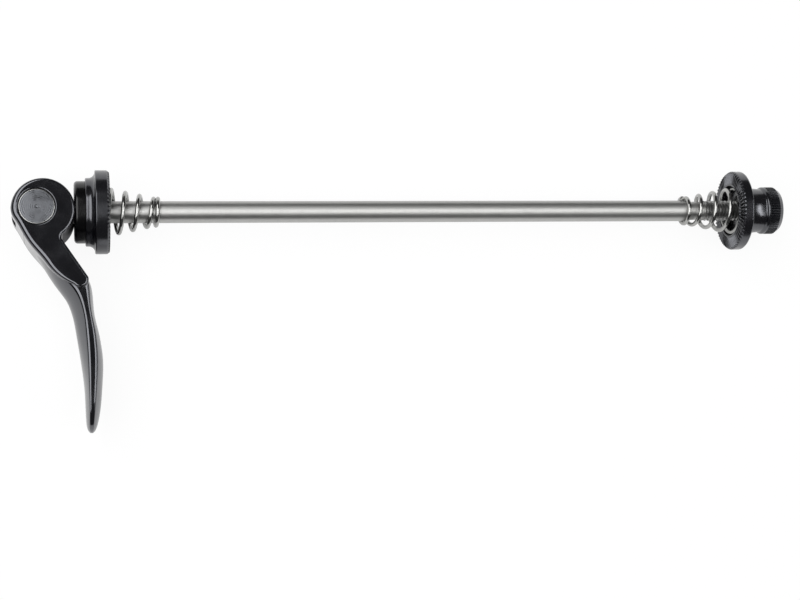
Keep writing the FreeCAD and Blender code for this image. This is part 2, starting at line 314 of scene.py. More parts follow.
@dataclass(frozen=True)
class GroundSteel(Finish):
    """Steel bar, drawn and centreless ground.

    A satin metal with fine scratches round the bar. They are too fine to see one by one, so they only draw
    every reflection out along the bar, and the rings in the relief are as coarse as they need to be to show.

    Attributes:
        drawn_out: how much further a reflection is drawn out along the bar than across it.
        round_share: how little the mottling changes on the way round the bar.
    """

    spread: float = 0.06
    drawn_out: float = 0.55
    round_share: float = 0.2

    def pattern(self, tree: NodeTree, shader: Node, place: NodeSocket) -> None:
        """A gloss that lies along the bar, and faint rings in it.

        Args:
            tree: the material's tree.
            shader: the shader that is dressed.
            place: the Object coordinates.
        """
        drawn = add_node(tree, "ShaderNodeMapping", {
            "Vector": place, "Scale": (1.0, self.round_share, self.round_share)})
        rings = add_node(tree, "ShaderNodeTexNoise", {
            "Vector": drawn.outputs["Vector"], "Scale": per_metre(self.grain_mm), "Detail": 3.0,
            "Roughness": 0.6})
        self.vary_roughness(tree, shader, rings.outputs["Fac"])
        self.raise_grain(tree, shader, rings.outputs["Fac"])
        along = add_node(tree, "ShaderNodeVectorTransform", {"Vector": (1.0, 0.0, 0.0)},
                         vector_type="VECTOR", convert_from="OBJECT", convert_to="WORLD")
        shader.inputs["Anisotropic"].default_value = self.drawn_out
        tree.links.new(along.outputs["Vector"], shader.inputs["Tangent"])


@dataclass(frozen=True)
class TurnedSteel(Finish):
    """Steel bar end, faced in a lathe.

    Rings left by the tool round the middle of the face, as coarse as they need to be to show, with grey
    stains where oil and dye have stayed. The edge is broken afterwards and shows as a bright line.

    Attributes:
        axis_x_mm: place of the pin's axis along the rod.
        stain_mm: size of the stains.
        stain: colour of the stains.
        rim_mm: radius from which the metal is bare.
        bare: colour of the bare metal.
    """

    spread: float = 0.1
    axis_x_mm: float = 0.0
    stain_mm: float = 2.5
    stain: str = "#48494c"
    rim_mm: float = 3.78
    bare: str = "#a4a4a2"

    def pattern(self, tree: NodeTree, shader: Node, place: NodeSocket) -> None:
        """Tool rings about the pin's axis over a stained metal.

        Args:
            tree: the material's tree.
            shader: the shader that is dressed.
            place: the Object coordinates.
        """
        centred = add_node(tree, "ShaderNodeMapping", {
            "Vector": place, "Location": (-self.axis_x_mm * MM, 0.0, 0.0)})
        flat = add_node(tree, "ShaderNodeVectorMath", {
            0: centred.outputs["Vector"], 1: (1.0, 1.0, 0.0)}, operation="MULTIPLY")
        reach = add_node(tree, "ShaderNodeVectorMath", {0: flat.outputs["Vector"]}, operation="LENGTH")
        turns = add_node(tree, "ShaderNodeMath", {
            0: reach.outputs["Value"], 1: FULL_TURN * per_metre(self.grain_mm)}, operation="MULTIPLY")
        rings = add_node(tree, "ShaderNodeMath", {0: turns.outputs["Value"]}, operation="SINE")
        stain = add_node(tree, "ShaderNodeTexNoise", {
            "Vector": place, "Scale": per_metre(self.stain_mm), "Detail": 6.0, "Roughness": 0.65})
        self.vary_roughness(tree, shader, stain.outputs["Fac"])
        self.raise_grain(tree, shader, rings.outputs["Value"])
        tint = add_node(tree, "ShaderNodeMix", {
            "Factor": stain.outputs["Fac"], 6: linear(self.stain), 7: linear(self.colour)}, data_type="RGBA")
        rim = add_node(tree, "ShaderNodeMath", {
            0: reach.outputs["Value"], 1: self.rim_mm * MM}, operation="GREATER_THAN")
        tint = add_node(tree, "ShaderNodeMix", {
            "Factor": rim.outputs["Value"], 6: tint.outputs[2], 7: linear(self.bare)}, data_type="RGBA")
        tree.links.new(tint.outputs[2], shader.inputs["Base Color"])


@dataclass(frozen=True)
class DrawnWire(Finish):
    """Stainless spring wire, drawn bright.

    A clean pale metal with faint die lines, so that each turn carries one sharp light line.
    """

    def pattern(self, tree: NodeTree, shader: Node, place: NodeSocket) -> None:
        """Faint drawing marks.

        Args:
            tree: the material's tree.
            shader: the shader that is dressed.
            place: the Object coordinates.
        """
        marks = add_node(tree, "ShaderNodeTexNoise", {
            "Vector": place, "Scale": per_metre(self.grain_mm), "Detail": 3.0})
        self.vary_roughness(tree, shader, marks.outputs["Fac"])
        self.raise_grain(tree, shader, marks.outputs["Fac"])


@dataclass(frozen=True)
class MouldedPlastic(Finish):
    """Acetal or nylon, moulded in a spark-eroded tool.

    A dull even black with a very fine grit and no clear reflection.
    """

    spread: float = 0.06

    def pattern(self, tree: NodeTree, shader: Node, place: NodeSocket) -> None:
        """Fine grit from the mould.

        Args:
            tree: the material's tree.
            shader: the shader that is dressed.
            place: the Object coordinates.
        """
        grit = add_node(tree, "ShaderNodeTexNoise", {
            "Vector": place, "Scale": per_metre(self.grain_mm), "Detail": 2.0})
        self.vary_roughness(tree, shader, grit.outputs["Fac"])
        self.raise_grain(tree, shader, grit.outputs["Fac"])


@dataclass(frozen=True)
class Corner:
    """Corner of a turned outline, with the size of its rounding and the number of flats in it."""

    x: float
    r: float
    rounding: float = 0.0
    flats: int = 4


class Workshop:
    """Shared ways to make a solid and hand it over as a finished piece.

    Attributes:
        CREASE: angle from which an edge between two faces is sharp.
        MERGE_MM: distance at which two points are one.
        SLIVER_MM: the same where many steps or a cut have moved them.
    """

    CREASE = math.radians(32)
    MERGE_MM = 1e-4
    SLIVER_MM = 0.004

    @staticmethod
    def turn(outline: list[Corner], steps: int, closed: bool = True) -> BMesh:
        """Round an outline's corners and turn it about the rod's axis.

        Args:
            outline: the corners in order.
            steps: flats round the axis.
            closed: whether the last corner joins the first; if not, both lie on the axis.

        Returns:
            The turned solid, in millimetres.
        """
        solid = bmesh.new()
        ring = [solid.verts.new((corner.x, corner.r, 0.0)) for corner in outline]
        for start, end in zip(ring, ring[1:]):
            solid.edges.new((start, end))
        if closed:
            solid.edges.new((ring[-1], ring[0]))
        for vertex, corner in zip(ring, outline):
            if corner.rounding > 0:
                bmesh.ops.bevel(solid, geom=[vertex], offset=corner.rounding, offset_type="OFFSET",
                                segments=corner.flats, profile=0.5, affect="VERTICES", material=-1)
        bmesh.ops.spin(solid, geom=solid.verts[:] + solid.edges[:], cent=(0, 0, 0), axis=(1, 0, 0),
                       angle=FULL_TURN, steps=steps, use_merge=True)
        bmesh.ops.remove_doubles(solid, verts=solid.verts, dist=Workshop.MERGE_MM)
        bmesh.ops.recalc_face_normals(solid, faces=solid.faces)
        return solid

    @staticmethod
    def loft(rings: list[list[Vector]]) -> BMesh:
        """Skin a row of rings and close both ends.

        Args:
            rings: rings of points in order, all with the same number of points.

        Returns:
            The closed solid.
        """
        solid = bmesh.new()
        verts = [solid.verts.new(point) for point in rings[0]]
        rim = [solid.edges.new(pair) for pair in zip(verts, verts[1:] + verts[:1])]
        bmesh.ops.edgeloop_fill(solid, edges=rim)
        for ring in rings[1:]:
            drawn = bmesh.ops.extrude_edge_only(solid, edges=rim)["geom"]
            rim = [item for item in drawn if isinstance(item, bmesh.types.BMEdge)]
            fresh = {item.co.to_tuple(): item for item in drawn if isinstance(item, BMVert)}
            verts = [fresh[vertex.co.to_tuple()] for vertex in verts]
            for vertex, point in zip(verts, ring):
                vertex.co = point
        bmesh.ops.edgeloop_fill(solid, edges=rim)
        bmesh.ops.recalc_face_normals(solid, faces=solid.faces)
        return solid

    @staticmethod
    def stand_up(solid: BMesh, x: float) -> None:
        """Turn a solid from the rod's axis to the pivot's direction and move it along the rod.

        Args:
            solid: the solid, which is changed.
            x: its new place along the rod.
        """
        quarter = Matrix.Rotation(-math.pi / 2, 3, "Y")
        bmesh.ops.rotate(solid, cent=(0, 0, 0), matrix=quarter, verts=solid.verts)
        bmesh.ops.translate(solid, vec=(x, 0, 0), verts=solid.verts)

    @staticmethod
    def rough_object(solid: BMesh, name: str) -> Object:
        """Put a solid in the scene, still in millimetres.

        Args:
            solid: the solid, which is used up.
            name: the object's name.

        Returns:
            The new object.
        """
        mesh = bpy.data.meshes.new(name)
        solid.to_mesh(mesh)
        solid.free()
        rough = bpy.data.objects.new(name, mesh)
        bpy.context.scene.collection.objects.link(rough)
        return rough

    @staticmethod
    def settle(rough: Object) -> None:
        """Make an object's modifiers part of its mesh.

        Args:
            rough: the object, which is changed.
        """
        depsgraph = bpy.context.evaluated_depsgraph_get()
        mesh = bpy.data.meshes.new_from_object(rough.evaluated_get(depsgraph))
        rough.modifiers.clear()
        rough.data = mesh

    @staticmethod
    def join(target: Object, tool: Object, joining: Joining) -> None:
        """Join a tool's solid with the target's and drop the tool.

        Args:
            target: the object that is changed.
            tool: the other solid.
            joining: union or cut.
        """
        modifier = target.modifiers.new(joining.name, "BOOLEAN")
        modifier.operation = joining.value
        modifier.solver = "EXACT"
        modifier.object = tool
        Workshop.settle(target)
        bpy.data.objects.remove(tool)

    @staticmethod
    def clean(piece: Object) -> None:
        """Close the fine cracks and drop the slivers that joining leaves.

        Args:
            piece: the object, which is changed.
        """
        shape = bmesh.new()
        shape.from_mesh(piece.data)
        bmesh.ops.remove_doubles(shape, verts=shape.verts, dist=Workshop.SLIVER_MM)
        bmesh.ops.dissolve_degenerate(shape, dist=Workshop.SLIVER_MM, edges=shape.edges)
        bmesh.ops.recalc_face_normals(shape, faces=shape.faces)
        shape.to_mesh(piece.data)
        shape.free()

    @staticmethod
    def hand_over(piece: Object, finish: Material, body: Body, slot: str,
                  nodes: tuple[str, ...] = ()) -> None:
        """Bring a piece to metres, dress it and let it ride.

        Args:
            piece: the object, in millimetres.
            finish: its material.
            body: the body that it rides on.
            slot: the record's material slot; not used.
            nodes: CAD nodes that it stands for.
        """
        mesh: Mesh = piece.data
        mesh.transform(Matrix.Scale(MM, 4))
        mesh.materials.clear()
        mesh.materials.append(finish)
        mesh.shade_smooth()
        mesh.set_sharp_from_angle(angle=Workshop.CREASE)
        weighted = piece.modifiers.new("even_faces", "WEIGHTED_NORMAL")
        weighted.keep_sharp = True
        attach(piece, body.value)
        if nodes:
            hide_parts(*nodes)
        LOG.info("%s: %d faces on %s", piece.name, len(mesh.polygons), body.value)


@dataclass(frozen=True)
class ClampTeeth:
    """Radial teeth of a clamp face, cut into the columns of a turned flange.

    Attributes:
        count: number of teeth.
        depth: depth of a groove at the rim.
        columns: columns of vertices to a tooth, with the groove's share of the depth at each.
        lip: radius at which the grooves start.
        rim: radius of the flange.
        bevel_long: length along the rod of the bevel at the rim.
        bevel_high: its height.
        support: how far from an edge the ring of points lies that keeps its shading even.
    """

    count: int = 60
    depth: float = 0.55
    columns: tuple[float, ...] = (1.0, 0.5, 0.0, 0.0, 0.5)
    lip: float = 6.5
    rim: float = 9.5
    bevel_long: float = 0.6
    bevel_high: float = 0.45
    bevel_flats: int = 4
    support: float = 0.05

    @property
    def steps(self) -> int:
        """Columns all the way round."""
        return self.count * len(self.columns)

    def share(self, vertex: BMVert) -> float:
        """Share of a groove's depth in the vertex's column."""
        column = round(math.atan2(vertex.co.z, vertex.co.y) / FULL_TURN * self.steps)
        return self.columns[column % len(self.columns)]

    def outline(self, face_x: float, side: Side) -> list[Corner]:
        """Corners of the toothed face from just behind the rim's bevel to the lip.

        Args:
            face_x: place of the clamp plane.
            side: the end of the rod.

        Returns:
            The corners, from the rim inwards.
        """
        corners = [Corner(face_x - side.value * (self.bevel_long + self.support), self.rim)]
        for step in reversed(range(self.bevel_flats + 1)):
            part = step / self.bevel_flats
            corners.append(Corner(face_x - side.value * self.bevel_long * part,
                                  self.rim - self.bevel_high * (1 - part)))
        corners.append(Corner(face_x, self.lip + self.support))
        corners.append(Corner(face_x, self.lip))
        return corners

    def cut(self, flange: BMesh, face_x: float, side: Side) -> None:
        """Sink the groove columns into the face, deeper towards the rim.

        Args:
            flange: the turned flange, which is changed.
            face_x: place of the clamp plane.
            side: the end of the rod.
        """
        for vertex in flange.verts:
            radius = math.hypot(vertex.co.y, vertex.co.z)
            inset = side.value * (face_x - vertex.co.x)
            wanted = self.depth * radius / self.rim * self.share(vertex)
            if radius > self.lip + self.support / 2 and inset < self.bevel_long and inset < wanted:
                vertex.co.x = face_x - side.value * wanted


@dataclass(frozen=True)
class Rod:
    """Steel rod with a plain shank, a run-out neck and a right-hand thread.

    Attributes:
        neck_depth: how much thinner the neck is, and the size of the bevels at both ends.
        stub_depth: how far below the thread's root the shank's stub stays inside the thread.
    """

    start_x: float = -19.1
    shank_end_x: float = 138.0
    thread_x: float = 142.0
    end_x: float = 160.2
    radius: float = 2.5
    neck_depth: float = 0.3
    shank_rounding: float = 0.15
    stub_depth: float = 0.2
    thread_radius: float = 2.42
    thread_root: float = 2.02
    pitch: float = 0.8
    steps: int = 64
    thread_steps: int = 40

    def build(self, finish: Material, thread_finish: Material) -> None:
        """Make the rod and its thread.

        Args:
            finish: the ground steel.
            thread_finish: the rolled steel.
        """
        neck = self.radius - self.neck_depth
        shank = Workshop.turn([
            Corner(self.start_x, 0.0),
            Corner(self.start_x, neck),
            Corner(self.start_x + self.neck_depth, self.radius),
            Corner(self.shank_end_x - self.neck_depth, self.radius, self.shank_rounding),
            Corner(self.shank_end_x, neck),
            Corner(self.thread_x, neck),
            Corner(self.thread_x + self.pitch, self.thread_root - self.stub_depth),
            Corner(self.thread_x + self.pitch, 0.0),
        ], self.steps, closed=False)
        piece = Workshop.rough_object(shank, "rod_shank")
        Workshop.hand_over(piece, finish, Body.ROD, "rod", ("skewer_rod",))
        piece = Workshop.rough_object(self.thread(), "rod_thread")
        Workshop.hand_over(piece, thread_finish, Body.ROD, "rod")

    def thread(self) -> BMesh:
        """Spin one pitch of the thread's outline up the rod and trim both ends.

        Returns:
            The threaded end as a closed solid.
        """
        crest = self.pitch / 8
        flank = (self.pitch - 3 * crest) / 2
        outline = [(0.0, self.thread_root), (flank, self.thread_radius), (flank + crest, self.thread_radius),
                   (2 * flank + crest, self.thread_root), (self.pitch, self.thread_root)]
        turns = math.ceil((self.end_x - self.thread_x) / self.pitch) + 2
        solid = bmesh.new()
        ring = [solid.verts.new((self.thread_x - 2 * self.pitch + x, r, 0.0)) for x, r in outline]
        for start, end in zip(ring, ring[1:]):
            solid.edges.new((start, end))
        bmesh.ops.spin(solid, geom=solid.verts[:] + solid.edges[:], cent=(0, 0, 0), axis=(1, 0, 0),
                       dvec=(self.pitch / self.thread_steps, 0, 0), angle=FULL_TURN * turns,
                       steps=self.thread_steps * turns)
        slack = Workshop.SLIVER_MM
        bmesh.ops.remove_doubles(solid, verts=solid.verts, dist=slack)
        for x, way in ((self.thread_x, -1), (self.end_x, 1)):
            geometry = solid.verts[:] + solid.edges[:] + solid.faces[:]
            bmesh.ops.bisect_plane(solid, geom=geometry, dist=slack, plane_co=(x, 0, 0),
                                   plane_no=(way, 0, 0), clear_outer=True)
            rim = [edge for edge in solid.edges
                   if edge.is_boundary and all(abs(vertex.co.x - x) < 2 * slack for vertex in edge.verts)]
            bmesh.ops.edgeloop_fill(solid, edges=rim)
        bmesh.ops.recalc_face_normals(solid, faces=solid.faces)
        return solid


@dataclass(frozen=True)
class Spring:
    """Left-hand conical spring of round wire that stands with its wide end on a recess floor.

    Attributes:
        name: the CAD node that it stands for.
        body: the body that it rides on.
        side: the end of the rod.
        seat_x: place of the recess floor.
        wire: the wire's thickness.
        outer_radius: outer radius at the wide end.
        narrow_radius: inner radius at the narrow end.
        closed_wide: closed turns at the wide end.
        closed_narrow: closed turns at the narrow end.
    """

    name: str
    body: Body
    side: Side
    seat_x: float
    length: float
    wire: float = 1.0
    outer_radius: float = 5.8
    narrow_radius: float = 2.55
    turns: float = 5.05
    closed_wide: float = 0.65
    closed_narrow: float = 1.1
    steps_per_turn: int = 56
    wire_sides: int = 14

    def place(self, turn: float) -> tuple[float, float, float]:
        """Place of the wire's middle after some turns from the wide end.

        Args:
            turn: turns from the wide end.

        Returns:
            Its x, its radius and its angle about the rod.
        """
        wide = self.outer_radius - self.wire / 2
        narrow = self.narrow_radius + self.wire / 2
        rise = self.length - self.wire * (1 + self.closed_wide + self.closed_narrow)
        open_turns = self.turns - self.closed_wide - self.closed_narrow
        share = min(max((turn - self.closed_wide) / open_turns, 0.0), 1.0)
        closed = min(turn, self.closed_wide) + max(turn - self.turns + self.closed_narrow, 0.0)
        x = self.seat_x + self.side.value * (self.wire * (0.5 + closed) + rise * share)
        return x, wide + (narrow - wide) * share, -FULL_TURN * turn * self.side.value

    def build(self, finish: Material) -> None:
        """Draw the wire's round section along the coil.

        Args:
            finish: the drawn wire.
        """
        wire = bmesh.new()
        x, radius, angle = self.place(0.0)
        bmesh.ops.create_circle(wire, segments=self.wire_sides, radius=self.wire / 2,
                                matrix=Matrix.Translation((x, radius, 0.0)))
        section = wire.edges[:]
        bmesh.ops.edgeloop_fill(wire, edges=section)
        steps = round(self.turns * self.steps_per_turn)
        for step in range(1, steps + 1):
            next_x, next_radius, next_angle = self.place(self.turns * step / steps)
            drawn = bmesh.ops.extrude_edge_only(wire, edges=section)["geom"]
            section = [item for item in drawn if isinstance(item, bmesh.types.BMEdge)]
            verts = [item for item in drawn if isinstance(item, BMVert)]
            swing = Matrix.Rotation(next_angle - angle, 3, "X")
            bmesh.ops.rotate(wire, cent=(0, 0, 0), matrix=swing, verts=verts)
            outwards = Vector((0, math.cos(next_angle), math.sin(next_angle)))
            shift = outwards * (next_radius - radius) + Vector((next_x - x, 0, 0))
            bmesh.ops.translate(wire, vec=shift, verts=verts)
            x, radius, angle = next_x, next_radius, next_angle
        bmesh.ops.edgeloop_fill(wire, edges=section)
        bmesh.ops.recalc_face_normals(wire, faces=wire.faces)
        piece = Workshop.rough_object(wire, self.name + "_wire")
        Workshop.hand_over(piece, finish, self.body, "spring", (self.name,))


@dataclass(frozen=True)
class EndCap:
    """Flanged end cap with its toothed clamp face, and the plastic washer that the cam bears on.

    Attributes:
        sweep: hollow round between the boss and the flange.
        rim_support: how far from the rim's rounding the ring of points lies that keeps its shading even.
        saddle_radius: radius of the washer's hollow, about the cam's middle.
        cut_height: height of the tool that cuts the hollow.
    """

    teeth: ClampTeeth = ClampTeeth()
    boss_x: float = -5.35
    flange_x: float = -3.2
    boss_radius: float = 7.75
    boss_rounding: float = 0.3
    sweep: float = 1.45
    sweep_flats: int = 10
    rim_rounding: float = 0.25
    rim_support: float = 0.3
    bore: float = 2.7
    pocket_radius: float = 5.05
    pocket_end_x: float = -3.8
    recess_radius: float = 6.05
    recess_depth: float = 1.7
    recess_rounding: float = 0.12
    shoe_x: float = -7.85
    shoe_radius: float = 7.05
    shoe_rounding: float = 0.8
    shoe_flats: int = 6
    seat_rounding: float = 0.1
    fine_flats: int = 2
    spigot_radius: float = 5.0
    spigot_end_x: float = -3.85
    cam_x: float = -14.65
    cam_y: float = -0.6
    saddle_radius: float = 7.1
    cut_height: float = 30.0
    steps: int = 128

    def build(self, metal: Material, plastic: Material) -> None:
        """Make the cap and its washer.

        Args:
            metal: the cap's finish.
            plastic: the washer's finish.
        """
        cap = Workshop.turn([
            Corner(self.boss_x, self.pocket_radius),
            Corner(self.boss_x, self.boss_radius, self.boss_rounding),
            Corner(self.flange_x, self.boss_radius, self.sweep, self.sweep_flats),
            Corner(self.flange_x, self.teeth.rim, self.rim_rounding),
            Corner(self.flange_x + self.rim_support, self.teeth.rim),
            *self.teeth.outline(0.0, Side.LEVER_END),
            Corner(0.0, self.recess_radius, self.recess_rounding, self.fine_flats),
            Corner(-self.recess_depth, self.recess_radius),
            Corner(-self.recess_depth, self.bore),
            Corner(self.pocket_end_x, self.bore),
            Corner(self.pocket_end_x, self.pocket_radius),
        ], self.teeth.steps)
        self.teeth.cut(cap, 0.0, Side.LEVER_END)
        piece = Workshop.rough_object(cap, "cap_flange")
        Workshop.hand_over(piece, metal, Body.CAP, "cap", ("end_cap",))
        shoe = Workshop.rough_object(self.shoe(), "cap_saddle_washer")
        saddle = bmesh.new()
        bmesh.ops.create_cone(saddle, cap_ends=True, segments=self.steps, radius1=self.saddle_radius,
                              radius2=self.saddle_radius, depth=self.cut_height,
                              matrix=Matrix.Translation((self.cam_x, self.cam_y, 0)))
        Workshop.join(shoe, Workshop.rough_object(saddle, "saddle"), Joining.CUT)
        Workshop.hand_over(shoe, plastic, Body.CAP, "shoe", ("cam_shoe",))

    def shoe(self) -> BMesh:
        """Turn the washer, before its hollow is cut.

        Returns:
            The washer.
        """
        return Workshop.turn([
            Corner(self.shoe_x, self.bore),
            Corner(self.shoe_x, self.shoe_radius, self.shoe_rounding, self.shoe_flats),
            Corner(self.boss_x, self.shoe_radius, self.seat_rounding, self.fine_flats),
            Corner(self.boss_x, self.spigot_radius),
            Corner(self.spigot_end_x, self.spigot_radius),
            Corner(self.spigot_end_x, self.bore),
        ], self.steps)


@dataclass(frozen=True)
class Nut:
    """Flanged nut with a toothed clamp face, a waisted neck, a straight knurl and a locking ring.

    Attributes:
        waist_x: place where the neck's taper eases.
        neck_end_x: place where the neck is thinnest and the shoulder starts.
        collar_x: place where the shoulder reaches the collar.
        neck_sweep: hollow rounds along the neck.
        rim_support: how far from the rim's rounding the ring of points lies that keeps its shading even.
        knurl_lead: length over which the knurl's valleys start.
        knurl_edge: bevel at the knurl's end.
    """

    teeth: ClampTeeth = ClampTeeth()
    face_x: float = 149.0
    flange_x: float = 151.8
    waist_x: float = 154.3
    neck_end_x: float = 156.65
    collar_x: float = 157.1
    knurl_x: float = 157.6
    knurl_end_x: float = 160.0
    end_x: float = 161.1
    neck_start_radius: float = 6.1
    waist_radius: float = 5.42
    neck_radius: float = 5.22
    neck_sweep: float = 1.0
    neck_flats: int = 8
    shoulder_rounding: float = 0.2
    shoulder_flats: int = 5
    rim_rounding: float = 0.5
    rim_support: float = 0.55
    collar_radius: float = 5.7
    end_radius: float = 4.9
    end_rounding: float = 0.15
    knurl_depth: float = 0.26
    knurl_lead: float = 0.08
    knurl_edge: float = 0.05
    bore: float = 2.47
    pocket_radius: float = 3.95
    pocket_rounding: float = 0.1
    pocket_x: float = 158.35
    insert_x: float = 158.4
    insert_end_x: float = 160.7
    insert_radius: float = 3.9
    insert_rounding: float = 0.2
    recess_radius: float = 6.05
    recess_depth: float = 1.7
    recess_rounding: float = 0.12
    fine_flats: int = 2
    steps: int = 96

    def build(self, metal: Material, plastic: Material) -> None:
        """Make the nut and its locking ring.

        Args:
            metal: the nut's finish.
            plastic: the ring's finish.
        """
        nut = Workshop.turn([
            Corner(self.face_x + self.recess_depth, self.bore),
            Corner(self.face_x + self.recess_depth, self.recess_radius),
            Corner(self.face_x, self.recess_radius, self.recess_rounding, self.fine_flats),
            *reversed(self.teeth.outline(self.face_x, Side.NUT_END)),
            Corner(self.flange_x - self.rim_support, self.teeth.rim),
            Corner(self.flange_x, self.teeth.rim, self.rim_rounding),
            Corner(self.flange_x, self.neck_start_radius, self.neck_sweep, self.neck_flats),
            Corner(self.waist_x, self.waist_radius, self.neck_sweep, self.neck_flats),
            Corner(self.neck_end_x, self.neck_radius, self.shoulder_rounding, self.shoulder_flats),
            Corner(self.collar_x, self.collar_radius, self.shoulder_rounding, self.shoulder_flats),
            Corner(self.knurl_x, self.collar_radius),
            Corner(self.knurl_x + self.knurl_lead, self.collar_radius),
            Corner(self.knurl_end_x - self.knurl_edge, self.collar_radius),
            Corner(self.knurl_end_x, self.collar_radius - self.knurl_edge),
            Corner(self.end_x, self.end_radius, self.end_rounding),
            Corner(self.end_x, self.pocket_radius, self.pocket_rounding, self.fine_flats),
            Corner(self.pocket_x, self.pocket_radius),
            Corner(self.pocket_x, self.bore),
        ], self.teeth.steps)
        self.teeth.cut(nut, self.face_x, Side.NUT_END)
        self.knurl(nut)
        piece = Workshop.rough_object(nut, "nut_body")
        Workshop.hand_over(piece, metal, Body.NUT, "nut", ("adjusting_nut",))
        ring = Workshop.turn([
            Corner(self.insert_x, self.bore),
            Corner(self.insert_x, self.insert_radius),
            Corner(self.insert_end_x, self.insert_radius, self.insert_rounding),
            Corner(self.insert_end_x, self.bore, self.insert_rounding),
        ], self.steps)
        piece = Workshop.rough_object(ring, "nut_locking_ring")
        Workshop.hand_over(piece, plastic, Body.NUT, "insert", ("nut_lock_insert",))

    def knurl(self, nut: BMesh) -> None:
        """Draw the knurl's valleys in towards the axis.

        Args:
            nut: the turned nut, which is changed.
        """
        start, end = self.knurl_x + self.knurl_lead / 2, self.knurl_end_x - self.knurl_edge / 2
        for vertex in nut.verts:
            radius = math.hypot(vertex.co.y, vertex.co.z)
            if start < vertex.co.x < end and radius > self.end_radius:
                shrink = 1 - self.knurl_depth * self.teeth.share(vertex) / radius
                vertex.co.y *= shrink
                vertex.co.z *= shrink


@dataclass(frozen=True)
class ArmLine:
    """Middle line of the lever in plan: a straight arm beside the pin, an elbow and a long swept blade.

    Attributes:
        pin_x: place of the pin along the rod.
        arm_heading: direction of the arm in degrees from +X.
        arm_side: how far the arm's line passes beside the pin.
        blade_heading: direction in which the blade leaves the elbow.
        blade_sweep: how far the blade turns from there to its tip.
    """

    pin_x: float = -16.0
    arm_heading: float = -56.0
    arm_side: float = 2.9
    arm_length: float = 16.4
    elbow_radius: float = 13.5
    blade_heading: float = -77.6
    blade_length: float = 30.2
    blade_sweep: float = -15.0

    @staticmethod
    def heading(degrees: float) -> Vector:
        """Unit vector in plan at an angle from +X."""
        return Vector((math.cos(math.radians(degrees)), math.sin(math.radians(degrees)), 0.0))

    @property
    def along(self) -> Vector:
        """Direction of the arm."""
        return self.heading(self.arm_heading)

    @property
    def outwards(self) -> Vector:
        """Direction from the arm's line to its outer side."""
        return self.heading(self.arm_heading - 90)

    def spot(self, travel: float, reach: float, z: float) -> Vector:
        """Point at a travel along the arm, a reach outwards from its line and a height."""
        return Vector((self.pin_x, 0, z)) + self.along * travel + self.outwards * (self.arm_side + reach)

    def arc(self, point: Vector, start: float, length: float, turn: float) -> tuple[Vector, float]:
        """Follow a path that turns evenly.

        Args:
            point: where it starts.
            start: its heading there, in degrees.
            length: its length.
            turn: how far it turns, in degrees.

        Returns:
            The point and the heading at its end.
        """
        bend = math.radians(turn) / 2
        return point + self.heading(start + turn / 2) * (length * math.sin(bend) / bend), start + turn

    def at(self, share: float) -> tuple[Vector, float]:
        """Point and heading of the line.

        Args:
            share: share of the way from the pin to the tip.

        Returns:
            The point and the heading in degrees.
        """
        elbow_turn = self.blade_heading - self.arm_heading
        elbow_length = self.elbow_radius * math.radians(abs(elbow_turn))
        travel = share * (self.arm_length + elbow_length + self.blade_length)
        on_arm = min(travel, self.arm_length)
        point, heading = self.spot(on_arm, 0.0, 0.0), self.arm_heading
        on_elbow = min(travel - on_arm, elbow_length)
        if on_elbow > 0:
            point, heading = self.arc(point, heading, on_elbow, elbow_turn * on_elbow / elbow_length)
        on_blade = travel - on_arm - on_elbow
        if on_blade > Workshop.MERGE_MM:
            turn = self.blade_sweep * on_blade / self.blade_length
            point, heading = self.arc(point, heading, on_blade, turn)
        return point, heading


@dataclass(frozen=True)
class RimPoint:
    """Point of the cheeks' outline: its travel along the arm, its reach outwards and its edge's rounding."""

    travel: float
    reach: float
    rounding: float


